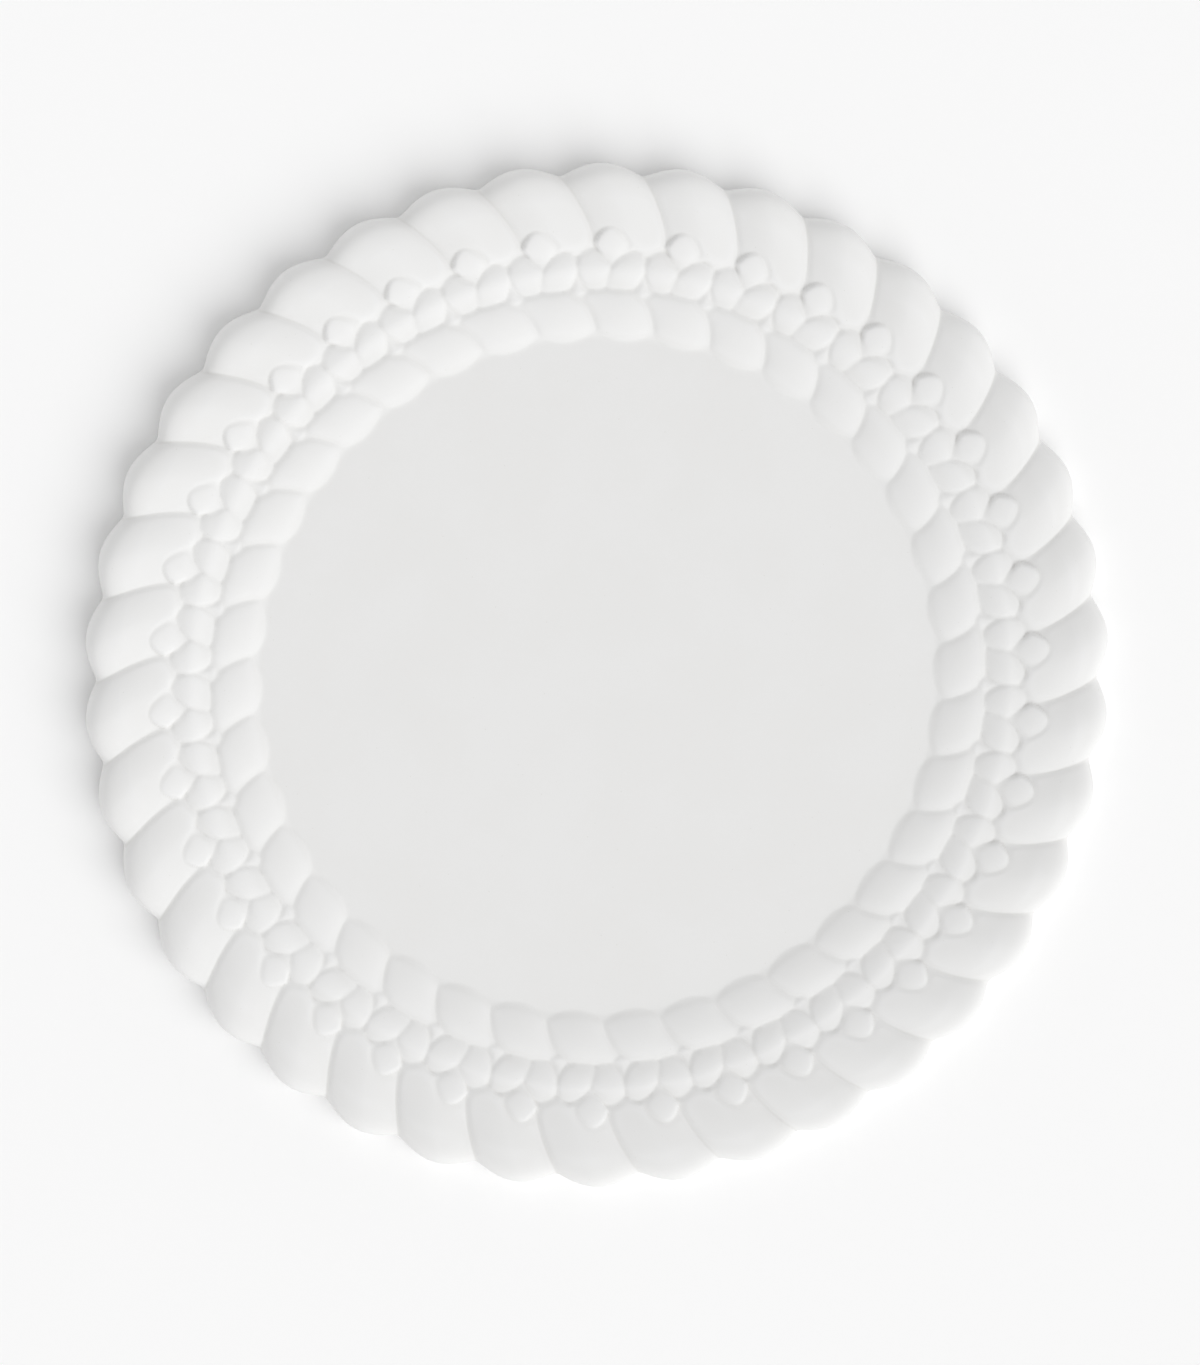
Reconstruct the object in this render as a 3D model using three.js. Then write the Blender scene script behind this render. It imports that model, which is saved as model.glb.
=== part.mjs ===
// Ceiling rose in fibrous plaster: a gadrooned rim, a band of husks, a ring of
// laurel leaves and a plain centre panel, stiffened at the back with timber
// laths and hessian scrim. Millimetres. It lies on its back with the decorated
// face up: z = 0 is the ceiling plane and the origin is the middle of the back.

import * as THREE from "three";

// --- the decorated face ---
const REPEATS = 38; // gadroons, husks and leaves, one of each to a repeat
const OUTER_RADIUS = 300; // over the tips of the gadroons
const SCALLOP_DEPTH = 6.8; // from a tip in to a valley of the outline
const GADROON_BAND = 50; // inner end of a gadroon to its tip
const GADROON_CREST = 15; // crest of a gadroon, in from its tip
const HUSK_BAND = 23;
const LEAF_BAND = 29;
const PANEL_THICKNESS = 9; // plaster in the middle of the centre panel
const EDGE_HEIGHT = 8; // widest level of the rim above the ceiling
const LEAF_RISE = 6.6; // crests above the centre panel
const HUSK_RISE = 9.8;
const GADROON_RISE = 18.2;
const LEAF_CREASE = 2.2; // depth of the creases between neighbours
const HUSK_CREASE = 1.6;
const GADROON_CREASE = 5.5;
const BUD_RISE = 1.6; // middle bud of a husk above the gadroon that it lies on
const BUD_OFFSET = 7; // widest place of the bud, out from the husk band
const LEAF_SLANT = 0.29; // how far a crease runs round over its band, in repeats
const GADROON_SLANT = 0.38;

// --- the back ---
const RIM_LAND = 16; // flat outer ring that meets the ceiling
const HUB_LAND = 16; // flat inner ring that meets the ceiling
const DISC_CLEARANCE = 1.5; // between the scrim disc and the ceiling
const STRAP_CLEARANCE = 1.9; // between the straps and the ceiling
const CHANNEL_DRAFT = 5; // how far the walls of the channel lean

// --- laths and scrim ---
const GAP = 0.3; // clearance between pieces that touch
const SCRIM_THICKNESS = 1.2;
const SCRIM_EDGE = 1.5; // scrim stops short of a wall by this much
const LATHS = 8;
const LATH_WIDTH = 20;
const LATH_THICKNESS = 5;
const LATH_WALL_CLEARANCE = 3; // corner of a lath to the wall of the channel
const LATH_END_GAP = 1; // between the inner corners of two laths
const STRAP_WIDTH = 32; // along the lath
const STRAP_THICKNESS = 1.5;
const STRAP_FOOT = 7; // part of a strap that is stuck down beside the lath
const STRAP_WALL_CLEARANCE = 2; // foot of a strap to the inner wall of the channel

// --- how finely the round shapes are divided ---
const COLUMNS = 8; // to one repeat
const BACK_SHARE = 4; // front columns to one column of the back

const gadroonRadius = OUTER_RADIUS - GADROON_BAND;
const huskRadius = gadroonRadius - HUSK_BAND;
const panelRadius = huskRadius - LEAF_BAND;
const crestRadius = OUTER_RADIUS - GADROON_CREST;
const channelOuter = OUTER_RADIUS - SCALLOP_DEPTH - RIM_LAND;
const apothem = lathApothem();
const strapReach = GAP + STRAP_THICKNESS + STRAP_FOOT;
const channelInner = apothem - strapReach - STRAP_WALL_CLEARANCE - CHANNEL_DRAFT;
const hubRadius = channelInner - HUB_LAND;
const centreRecess = DISC_CLEARANCE + SCRIM_THICKNESS + GAP;
const strapHeight = STRAP_THICKNESS + GAP + LATH_THICKNESS;
const lathTop = STRAP_CLEARANCE + strapHeight;
const channelDepth = lathTop + GAP + SCRIM_THICKNESS + GAP;
const faceHeight = centreRecess + PANEL_THICKNESS;

const PLASTER = { color: 0xe8e7e4, roughness: 0.92, metalness: 0 };
const TIMBER = { color: 0xc39a66, roughness: 0.8, metalness: 0 };
const HESSIAN = { color: 0xcdb68c, roughness: 0.95, metalness: 0 };

function mix(from, to, share) {
  return from + (to - from) * share;
}

// Rounded hump: 0 at its edges and 1 in the middle of a span that is 1 wide.
function hump(share) {
  const across = Math.min(1, Math.abs(2 * share - 1));
  return Math.sqrt(1 - Math.pow(across, 2.4));
}

// Turn of the creases at a radius, in repeats.
function creaseTurn(radius) {
  if (radius >= gadroonRadius) {
    const out = (radius - gadroonRadius) / (GADROON_BAND - SCALLOP_DEPTH);
    return GADROON_SLANT * (Math.pow(out, 1.45) - 1);
  }
  if (radius >= huskRadius) {
    return -GADROON_SLANT;
  }
  const inward = (huskRadius - radius) / LEAF_BAND;
  return -GADROON_SLANT - LEAF_SLANT * inward;
}

// Height above the centre panel. Along is the place between two creases, 0 to 1.
function leafHeight(radius, along) {
  const across = (radius - panelRadius) / LEAF_BAND;
  const crest = LEAF_RISE * Math.pow(Math.sin((Math.PI / 2) * Math.min(1, 1.9 * across)), 1.2);
  const crease = LEAF_CREASE * Math.sin(Math.PI * across);
  return crest - crease * (1 - hump(along));
}

function huskHeight(radius, along) {
  const across = (radius - huskRadius) / HUSK_BAND;
  const crest = mix(LEAF_RISE, HUSK_RISE, Math.sin((Math.PI / 2) * across));
  const twoPetals = hump((2 * along) % 1);
  return crest - HUSK_CREASE * (1 - twoPetals);
}

function gadroonHeight(radius, along) {
  const across = (radius - gadroonRadius) / (crestRadius - gadroonRadius);
  const rise = Math.sin((Math.PI / 2) * Math.min(1, across));
  const crest = mix(HUSK_RISE, GADROON_RISE, rise);
  const crease = mix(HUSK_CREASE, GADROON_CREASE, rise);
  const budAlong = Math.abs(along - 0.75) / 0.25;
  const budAcross = (radius - gadroonRadius - BUD_OFFSET) / BUD_OFFSET;
  const bud = BUD_RISE * Math.max(0, 1 - budAlong * budAlong - budAcross * budAcross);
  return crest - crease * (1 - hump(along)) + bud;
}

// Outline of the rim, with a round scallop to each repeat.
function outlineRadius(turn) {
  const share = turn - Math.floor(turn);
  return OUTER_RADIUS - SCALLOP_DEPTH * (1 - Math.sin(Math.PI * share));
}

function point(radius, angle, z) {
  return [radius * Math.cos(angle), radius * Math.sin(angle), z];
}

// One ring of points over the relief, with a height rule for its band.
function reliefRing(radius, height, creaseShift) {
  const ring = [];
  for (let column = 0; column < REPEATS * COLUMNS; column += 1) {
    const turn = column / COLUMNS + creaseTurn(radius);
    const along = (column / COLUMNS + creaseShift) % 1;
    const angle = (2 * Math.PI * turn) / REPEATS;
    ring.push(point(radius, angle, faceHeight + height(radius, along)));
  }
  return ring;
}

// One ring over the rolled end of the gadroons, from crest (0) to edge (1).
function rollRing(share) {
  const ring = [];
  const lean = (Math.PI / 2) * share;
  for (let column = 0; column < REPEATS * COLUMNS; column += 1) {
    const turn = column / COLUMNS;
    const top = faceHeight + gadroonHeight(crestRadius, turn % 1);
    const radius = mix(crestRadius, outlineRadius(turn), Math.sin(lean));
    const z = mix(EDGE_HEIGHT, top, Math.cos(lean));
    const angle = (2 * Math.PI * (turn + creaseTurn(radius))) / REPEATS;
    ring.push(point(radius, angle, z));
  }
  return ring;
}

function plainRing(radius, z, count) {
  const ring = [];
  for (let column = 0; column < count; column += 1) {
    ring.push(point(radius, (2 * Math.PI * column) / count, z));
  }
  return ring;
}

// Triangles between two rings. The outer or lower ring may have several
// columns to one column of the other.
function joinRings(triangles, many, few, flip) {
  const share = many.length / few.length;
  const add = (a, b, c) => triangles.push(...(flip ? [a, c, b] : [a, b, c]));
  for (let column = 0; column < few.length; column += 1) {
    const next = few[(column + 1) % few.length];
    const half = Math.floor(share / 2);
    for (let step = 0; step < share; step += 1) {
      const first = many[column * share + step];
      const second = many[(column * share + step + 1) % many.length];
      const apex = step < half || share === 1 ? few[column] : next;
      add(first, second, apex);
      if (step === half - 1) {
        add(second, next, few[column]);
      }
    }
    if (share === 1) {
      add(many[(column + 1) % many.length], next, few[column]);
    }
  }
}

function closeRing(triangles, ring, centre, flip) {
  for (let column = 0; column < ring.length; column += 1) {
    const next = ring[(column + 1) % ring.length];
    triangles.push(...(flip ? [ring[column], centre, next] : [ring[column], next, centre]));
  }
}

function solidFrom(triangles) {
  const geometry = new THREE.BufferGeometry();
  const flat = new Float32Array(triangles.flat());
  geometry.setAttribute("position", new THREE.BufferAttribute(flat, 3));
  geometry.computeVertexNormals();
  return geometry;
}

function castingFront() {
  const leafShift = 0.75;
  const rings = [];
  for (const share of [0, 0.16, 0.45, 0.75, 1]) {
    rings.push(reliefRing(panelRadius + share * LEAF_BAND, leafHeight, leafShift));
  }
  for (const share of [0.25, 0.6, 0.88]) {
    rings.push(reliefRing(huskRadius + share * HUSK_BAND, huskHeight, 0));
  }
  for (const share of [0.06, 0.24, 0.48, 0.74]) {
    const radius = mix(gadroonRadius, crestRadius, share);
    rings.push(reliefRing(radius, gadroonHeight, 0));
  }
  for (const share of [0, 0.4, 0.7, 1]) {
    rings.push(rollRing(share));
  }
  return rings;
}

function castingGeometry() {
  const backColumns = (REPEATS * COLUMNS) / BACK_SHARE;
  const front = castingFront();
  const edge = front[front.length - 1];
  const foot = edge.map(([x, y]) => [x, y, 0]);
  const triangles = [];
  const panel = plainRing(panelRadius * 0.9, faceHeight, backColumns);
  closeRing(triangles, panel, [0, 0, faceHeight], false);
  joinRings(triangles, front[0], panel, false);
  for (let row = 1; row < front.length; row += 1) {
    joinRings(triangles, front[row], front[row - 1], false);
  }
  joinRings(triangles, foot, edge, false);
  const back = [
    plainRing(channelOuter, 0, backColumns),
    plainRing(channelOuter - CHANNEL_DRAFT, channelDepth, backColumns),
    plainRing(channelInner + CHANNEL_DRAFT, channelDepth, backColumns),
    plainRing(channelInner, 0, backColumns),
    plainRing(hubRadius, 0, backColumns),
    plainRing(hubRadius, centreRecess, backColumns),
  ];
  joinRings(triangles, foot, back[0], true);
  for (let row = 1; row < back.length; row += 1) {
    joinRings(triangles, back[row - 1], back[row], true);
  }
  closeRing(triangles, back[back.length - 1], [0, 0, centreRecess], true);
  return solidFrom(triangles);
}

// Ring or disc with a square edge, lying flat from z = 0 up.
function flatRingGeometry(inner, outer, thickness) {
  const corners = [
    new THREE.Vector2(inner, 0),
    new THREE.Vector2(outer, 0),
    new THREE.Vector2(outer, thickness),
    new THREE.Vector2(inner, thickness),
  ];
  const profile = inner > 0 ? [...corners, corners[0]] : corners;
  const geometry = new THREE.LatheGeometry(profile, (REPEATS * COLUMNS) / BACK_SHARE);
  return geometry.rotateX(Math.PI / 2);
}

// Inner edge of the laths, so that their outer corners clear the channel.
function lathApothem() {
  const reach = channelOuter - CHANNEL_DRAFT - LATH_WALL_CLEARANCE;
  const slope = Math.tan(Math.PI / LATHS);
  const endGap = LATH_END_GAP / 2;
  const square = 1 + slope * slope;
  const linear = 2 * (LATH_WIDTH - slope * endGap);
  const constant = LATH_WIDTH * LATH_WIDTH + endGap * endGap - reach * reach;
  return (-linear + Math.sqrt(linear * linear - 4 * square * constant)) / (2 * square);
}

// Hat-shaped section of a strap: out from the middle of the rose, then up.
function strapShape() {
  const web = LATH_WIDTH / 2 + GAP + STRAP_THICKNESS;
  const toe = web + STRAP_FOOT;
  const shape = new THREE.Shape();
  shape.moveTo(-web, 0);
  shape.lineTo(web, 0);
  shape.lineTo(web, strapHeight - STRAP_THICKNESS);
  shape.lineTo(toe, strapHeight - STRAP_THICKNESS);
  shape.lineTo(toe, strapHeight);
  shape.lineTo(web - STRAP_THICKNESS, strapHeight);
  shape.lineTo(web - STRAP_THICKNESS, STRAP_THICKNESS);
  shape.lineTo(-web + STRAP_THICKNESS, STRAP_THICKNESS);
  shape.lineTo(-web + STRAP_THICKNESS, strapHeight);
  shape.lineTo(-toe, strapHeight);
  shape.lineTo(-toe, strapHeight - STRAP_THICKNESS);
  shape.lineTo(-web, strapHeight - STRAP_THICKNESS);
  shape.closePath();
  return shape;
}

function strapGeometry() {
  const settings = { depth: STRAP_WIDTH, bevelEnabled: false };
  const geometry = new THREE.ExtrudeGeometry(strapShape(), settings);
  geometry.translate(0, 0, -STRAP_WIDTH / 2);
  return geometry.rotateX(Math.PI / 2);
}

function addMesh(parent, name, geometry, finish) {
  const mesh = new THREE.Mesh(geometry, new THREE.MeshStandardMaterial(finish));
  mesh.name = name;
  parent.add(mesh);
  return mesh;
}

function addScrim(rose) {
  const disc = flatRingGeometry(0, hubRadius - SCRIM_EDGE, SCRIM_THICKNESS);
  const backing = addMesh(rose, "backing_scrim", disc, HESSIAN);
  backing.position.z = DISC_CLEARANCE;
  const inner = channelInner + CHANNEL_DRAFT + SCRIM_EDGE;
  const outer = channelOuter - CHANNEL_DRAFT - SCRIM_EDGE;
  const lining = flatRingGeometry(inner, outer, SCRIM_THICKNESS);
  const channel = addMesh(rose, "channel_scrim", lining, HESSIAN);
  channel.position.z = lathTop + GAP;
}

// One lath and its two straps, in a group that is turned to its place.
function addLath(rose, number) {
  const length = 2 * apothem * Math.tan(Math.PI / LATHS) - LATH_END_GAP;
  const station = new THREE.Group();
  station.rotation.z = (2 * Math.PI * number) / LATHS;
  rose.add(station);
  const bar = new THREE.BoxGeometry(LATH_WIDTH, length, LATH_THICKNESS);
  const lath = addMesh(station, `rim_lath_${number + 1}`, bar, TIMBER);
  const middle = apothem + LATH_WIDTH / 2;
  lath.position.set(middle, 0, lathTop - LATH_THICKNESS / 2);
  for (const side of [-1, 1]) {
    const end = side < 0 ? "a" : "b";
    const strap = addMesh(station, `scrim_strap_${number + 1}${end}`, strapGeometry(), HESSIAN);
    strap.position.set(middle, (side * length) / 4, STRAP_CLEARANCE);
  }
}

const rose = new THREE.Group();
rose.name = "ceiling_rose";
addMesh(rose, "rose_casting", castingGeometry(), PLASTER);
addScrim(rose);
for (let number = 0; number < LATHS; number += 1) {
  addLath(rose, number);
}

export default rose;
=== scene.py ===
"""Looks of the ceiling rose: the cast relief, the struck back, the laths and the hessian scrim."""

import math
import random

import bmesh
import bpy
import numpy as np
from mathutils import Matrix, Vector


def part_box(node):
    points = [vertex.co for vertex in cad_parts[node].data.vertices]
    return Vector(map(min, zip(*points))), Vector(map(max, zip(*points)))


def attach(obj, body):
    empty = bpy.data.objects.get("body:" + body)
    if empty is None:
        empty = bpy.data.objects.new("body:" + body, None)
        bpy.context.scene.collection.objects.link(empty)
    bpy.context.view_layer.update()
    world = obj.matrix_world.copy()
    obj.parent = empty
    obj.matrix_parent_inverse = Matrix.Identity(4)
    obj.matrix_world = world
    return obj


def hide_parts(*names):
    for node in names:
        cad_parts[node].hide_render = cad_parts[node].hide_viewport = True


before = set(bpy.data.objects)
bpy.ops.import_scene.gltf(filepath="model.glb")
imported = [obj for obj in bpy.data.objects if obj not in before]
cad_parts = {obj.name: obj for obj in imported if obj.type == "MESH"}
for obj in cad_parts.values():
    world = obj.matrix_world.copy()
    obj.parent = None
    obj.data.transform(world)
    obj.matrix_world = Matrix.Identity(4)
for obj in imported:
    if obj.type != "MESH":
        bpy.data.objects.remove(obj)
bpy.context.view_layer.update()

MM = 0.001
TAU = 2 * math.pi


def box_of(node):
    """A node's lowest and highest corners as vectors."""
    low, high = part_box(node)
    return Vector(low), Vector(high)


# --- sizes taken from the frame ---
casting_top = box_of("rose_casting")[1]
OUTER_RADIUS = casting_top.y
PROJECTION = casting_top.z

# --- bands of the face, inward from the tips of the gadroons ---
REPEATS = 38
SCALLOP_DEPTH = 6.8 * MM
GADROON_BAND = 50 * MM
GADROON_CREST = 18 * MM
HUSK_BAND = 23 * MM
LEAF_BAND = 29 * MM

GADROON_RADIUS = OUTER_RADIUS - GADROON_BAND
CREST_RADIUS = OUTER_RADIUS - GADROON_CREST
HUSK_RADIUS = GADROON_RADIUS - HUSK_BAND
PANEL_RADIUS = HUSK_RADIUS - LEAF_BAND
HUSK_START = HUSK_RADIUS - 2 * MM  # where the ground under the husks starts to climb
HUSK_TOP = GADROON_RADIUS - 8 * MM
GADROON_LAP = 2.4 * MM  # how far the gadroons reach in under the husks
VALLEY_FILLET = 0.12  # of the scalloped outline, as a share of its depth

# --- the crease between two gadroons leans more and more on its way out ---
CREASE_ROOT = GADROON_RADIUS + 1.9 * MM
CREASE_RUN = GADROON_BAND - SCALLOP_DEPTH - 3.5 * MM
CREASE_TURN = 0.615  # in repeats, at the root
CREASE_LEAN = 0.38
CREASE_BEND = 1.45

# --- heights above the panel ---
GADROON_RISE = 18.2 * MM
GADROON_FALL = 6.8 * MM  # from the crest to the inner end
GADROON_BEND = 1.3
INNER_CREASE = 2.4 * MM  # depth of the crease between gadroons at their inner end
OUTER_CREASE = 5.2 * MM  # and at their crest
LOBE_SQUARENESS = 1.8  # across a gadroon: 2 would be a parabola
GROOVE_DEPTH = 0.9 * MM
GROOVE_WIDTH = 1.4 * MM
GROOVE_SHARPNESS = 1.5
LEAF_INSET = 1 * MM  # from the edge of the panel to where the ground under the leaves starts to rise
LEAF_BEND = 1.25
HUSK_GROUND = 5.2 * MM
HUSK_CLIMB = 3.8 * MM
HUSK_GAP = 0.3 * MM  # depth of the ground between petals below their feet
BUD_SINK = 1.1 * MM  # depth of a bud's foot below the gadroon that it lies on
BUD_LEAST = 0.3 * MM  # lowest that a bud's foot goes below the feet of the petals
LEAF_CROWN = 3.2 * MM
PETAL_CROWN = 1.6 * MM
BUD_CROWN = 1.7 * MM
FILLER_CROWN = 1.0 * MM
LEAF_FULLNESS = 0.75  # 1 would be a skin blown up, and less is flatter on top and steeper at the edge
SMALL_FULLNESS = 0.6
FACE_HEIGHT = PROJECTION - GADROON_RISE
EDGE_HEIGHT = 8 * MM
ROLL_SQUARENESS = 4.0  # of the roll of the rim: 2 would be a quarter of an ellipse

# --- back of the casting ---
CHANNEL_OUTER = 277.2 * MM
CHANNEL_INNER = 215.9 * MM
CHANNEL_DEPTH = 10.5 * MM
CHANNEL_DRAFT = 5 * MM
HUB_RADIUS = 199.9 * MM
RECESS_DEPTH = 3 * MM
RIM_FLAT = 12 * MM  # in from the tips: the rim's foot is flat this far, and struck from RIM_LAND on
RIM_LAND = 17 * MM
ARRIS = 0.8 * MM  # height of the worn edges of the channel
ROUNDING = 0.9 * MM  # of the corners of the back
LAND_EDGE = 1.2 * MM  # from the struck part of a land to the wall beside it
STRIKE_DEPTH = 0.05 * MM

# --- laths and hessian ---
LATHS = 8
LATH_ARRIS = 0.8 * MM
LATH_SIDE_GAP = 0.3 * MM  # room left round a lath for its wander
LATH_END_GAP = 0.5 * MM
LATH_FACE_GAP = 0.1 * MM
LATH_WANDER = 0.22 * MM
LATH_THINNING = 0.12 * MM
LATH_TRIM = 0.45 * MM  # worn off at its ends
LATH_SKEW = 0.5 * MM  # of its sawn ends
STRAP_GAP = 0.3 * MM  # between a strap and its lath
STRAP_BEND = 1.6 * MM
STRAP_STEP = 2.5 * MM
STRAP_ROWS = 15
STRAP_SKIN = 0.12 * MM  # room left over a strap's face for its lumps
FRAY_DEPTH = 0.45 * MM
FRAY_PITCH = 1.3 * MM  # run of one radian, as in LUMP_PITCH
LUMP_HEIGHT = 0.1 * MM
LUMP_PITCH = 3.1 * MM
EDGE_THINNING = 0.3 * MM
LINING_WIDTH = 48.3 * MM
BACKING_COLUMNS = 6 * REPEATS
LINING_COLUMNS = 12 * REPEATS
BED_GAP = 0.05 * MM  # between a scrim and the plaster that it is bedded on
BACKING_ARRIS = 0.3 * MM
LINING_ARRIS = 0.35 * MM
BACKING_RAG = 0.7 * MM  # how far a cut edge wanders
LINING_RAG = 0.9 * MM
BACKING_RIPPLE = 0.07 * MM
LINING_RIPPLE = 0.06 * MM
WEAVE_PITCH = 4.4 * MM
THREAD_RADIUS = 0.34 * MM
THREAD_ROOT = 1.2 * MM  # in from the cut edge
THREAD_DROOP = 0.5  # at most, up or down, for each unit of length
THREAD_SWAY = 0.7

# --- camera and studio, with angles in degrees ---
CAMERA_TILT = 8.7
CAMERA_TOWARD = 133.4
CAMERA_DISTANCE = 4.26
CAMERA_LENS = 219
CAMERA_AIM = (0.0003, -0.0026)
FLOOR_DROP = 0.2 * MM  # keeps the floor clear of the back, which is flush with z = 0
FLOOR_LAP = 3 * MM  # how far the floor reaches in under the rim
FLOOR_RADIUS = 4.0
FLOOR_COLUMNS = 12  # to one repeat

# --- outlines of the ornaments: turn in repeats, and millimetres out from their ring ---
BUD = (
    (0.39, 13.8), (0.28, 11.6), (0.195, 7.2), (0.155, 3.2), (0.26, -3.4), (0.39, -8.2),
    (0.49, -4.2), (0.585, 1.4), (0.62, 4.8), (0.56, 10.0), (0.48, 12.9),
)
LEFT_PETAL = (
    (-0.10, 10.0), (-0.105, 15.5), (-0.06, 21.0), (0.06, 23.6), (0.19, 21.8), (0.33, 15.6),
    (0.425, 8.8), (0.455, 3.4), (0.40, 0.8), (0.25, 0.3), (0.10, 0.8), (-0.02, 3.6),
)
RIGHT_PETAL = (
    (0.395, 12.5), (0.44, 17.4), (0.54, 21.8), (0.66, 24.0), (0.79, 22.8), (0.865, 17.6),
    (0.872, 12.0), (0.82, 6.0), (0.72, 1.4), (0.60, 0.4), (0.50, 0.8), (0.447, 4.0), (0.42, 8.4),
)
FILLER = (
    (0.885, 7.0), (0.825, 2.8), (0.75, -0.4), (0.80, -2.8), (0.89, -3.8), (0.96, -2.4), (0.99, 0.0),
    (0.94, 3.0),
)
LEAF = (
    (-0.40, 6.4), (-0.33, 14.0), (-0.22, 21.0), (-0.04, 27.0), (0.16, 29.2), (0.42, 29.6),
    (0.66, 28.8), (0.82, 25.0), (0.76, 20.4), (0.67, 14.0), (0.60, 6.4), (0.50, 2.8),
    (0.33, 0.0), (0.12, -0.9), (-0.12, 0.4), (-0.30, 3.4),
)

# --- fineness of the relief ---
MAP_TURNS = 96  # steps to one repeat
MAP_STEP = 0.5 * MM
MAP_MARGIN = 25 * MM  # out past the tips
MAP_INSET = 8 * MM  # in past the edge of the panel
CREASE_REACH = 1.6  # creases and crest lines are carried on to this share of their length
KIND = 100  # the cells of one kind of ornament are numbered within a hundred
SWEEPS = 260  # of the relaxation that blows the ornaments up
OVERSHOOT = 1.92  # of each sweep, where 1 would be plain relaxation
SOFTENING = 2  # passes, as in the two spreads
HOLLOW_SPREAD = 7
PROUD_SPREAD = 60
HOLLOW_DEPTH = 0.45 * MM  # below the mean of the surface close round it, where plaster counts as hollow: painted darker, partly dust and partly painted shade
PROUD_HEIGHT = 0.25 * MM  # above the mean of the surface more widely round it, where it counts as proud: painted lighter, a painted highlight
COLUMNS = 36  # of the mesh, to one repeat
PANEL_SHARE = 9  # relief columns to one column of the flat panel
BACK_SHARE = 4
PANEL_RINGS = (0.1, 0.3, 0.5, 0.7, 0.93)  # shares of the panel's radius
LEAF_START = 5 * MM  # in from the edge of the panel, where the close rows start
LEAF_STEP = 1.2 * MM
HUSK_STEP = 1.0 * MM
GADROON_START = 15 * MM  # out from the inner end, where the gadroons' wider rows start
GADROON_ROWS = 9
ROLL_ROWS = 14
EDGE_PASSES = 8  # to find where a slanting column meets the outline
RIM_FOOT = ((5, 0.05), (2, 0.3), (0.5, 0.8), (0, 1.6))  # its lowest rings: height and inset in mm


def smooth(value, start, end):
    """0 before start and 1 after end, with a soft step between."""
    t = np.clip((value - start) / (end - start), 0, 1)
    return t * t * (3 - 2 * t)


def gadroon_crease(radius):
    """Turn, in repeats, of the crease between two gadroons."""
    out = np.clip((radius - CREASE_ROOT) / CREASE_RUN, 0, CREASE_REACH)
    return CREASE_TURN + CREASE_LEAN * out**CREASE_BEND


def gadroon_profile(radius):
    """Height of a gadroon's crest line above the panel."""
    inward = np.clip((CREST_RADIUS - radius) / (CREST_RADIUS - GADROON_RADIUS), 0, CREASE_REACH)
    return GADROON_RISE - GADROON_FALL * inward**GADROON_BEND


def closed_curve(points, ring):
    """A Catmull-Rom curve through points, each a turn and a distance out from a ring."""
    here = np.array([(turn, ring + out * MM) for turn, out in points])
    before = np.roll(here, 1, axis=0)
    after = np.roll(here, -1, axis=0)
    beyond = np.roll(here, -2, axis=0)
    t = np.linspace(0, 1, 10, endpoint=False)[:, None, None]
    linear = (after - before) * t
    square = (2 * before - 5 * here + 4 * after - beyond) * t**2
    cube = (3 * here - before - 3 * after + beyond) * t**3
    curve = here + (linear + square + cube) / 2
    return curve.transpose(1, 0, 2).reshape(-1, 2)


def inside(outline, turn, radius):
    """Which points lie within an outline."""
    found = np.zeros(turn.shape, bool)
    for start, end in zip(outline, np.roll(outline, -1, axis=0)):
        if start[1] == end[1]:
            continue
        crossed = (start[1] > radius) != (end[1] > radius)
        level = start[0] + (radius - start[1]) / (end[1] - start[1]) * (end[0] - start[0])
        found ^= crossed & (turn < level)
    return found


def ornament_cells(turn, radius):
    """A number for each ornament: gadroons from 1, the others in a hundred for each kind, and 0 between."""
    cells = 10 + np.floor(turn - gadroon_crease(radius)).astype(int)
    cells[radius < GADROON_RADIUS - GADROON_LAP] = 0
    kinds = (
        (LEAF, PANEL_RADIUS),
        (FILLER, HUSK_RADIUS),
        (LEFT_PETAL, HUSK_RADIUS),
        (RIGHT_PETAL, HUSK_RADIUS),
        (BUD, GADROON_RADIUS),
    )
    for kind, (points, ring) in enumerate(kinds, start=1):
        outline = closed_curve(points, ring)
        for copy in range(-2, 3):
            cells[inside(outline + (copy, 0), turn, radius)] = KIND * kind + KIND // 2 + copy
    return cells


def inflate(cells, radius):
    """The bulge of a skin blown up in each cell and held down along its edges."""
    across = (MAP_STEP / (radius * TAU / REPEATS / MAP_TURNS)) ** 2
    moves = ((1, 0), (-1, 0), (1, 1), (-1, 1))
    joined = [(cells == np.roll(cells, *move)) & (cells > 0) for move in moves]
    places = np.indices(cells.shape).sum(axis=0) % 2
    bulge = np.zeros(cells.shape)
    for _ in range(SWEEPS):
        for colour in (0, 1):
            near = [np.roll(bulge, *move) * same for move, same in zip(moves, joined)]
            level = (near[0] + near[1] + across * (near[2] + near[3]) + MAP_STEP**2) / (2 + 2 * across)
            change = (cells > 0) & (places == colour)
            bulge[change] += OVERSHOOT * (level - bulge)[change]
    return bulge


def gadroon_height(turn, radius, bulge):
    """A round lobe between two creases, with a narrow groove where it meets its neighbours."""
    across = (turn - gadroon_crease(radius)) % 1
    deep = INNER_CREASE + (OUTER_CREASE - INNER_CREASE) * smooth(radius, GADROON_RADIUS, CREST_RADIUS)
    to_edge = bulge / (radius * TAU / REPEATS / 2)  # near enough, close to an edge
    groove = 1 - np.clip(to_edge / GROOVE_WIDTH, 0, 1)
    lobe = np.abs(2 * across - 1) ** LOBE_SQUARENESS
    return gadroon_profile(radius) - deep * lobe - GROOVE_DEPTH * groove**GROOVE_SHARPNESS


def dome_share(bulge, cells):
    """The bulge of each small ornament as a share of its own highest point."""
    share = np.zeros(bulge.shape)
    for cell in np.unique(cells[cells >= KIND]):
        here = cells == cell
        share[here] = bulge[here] / bulge[here].max()
    return share


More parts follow.
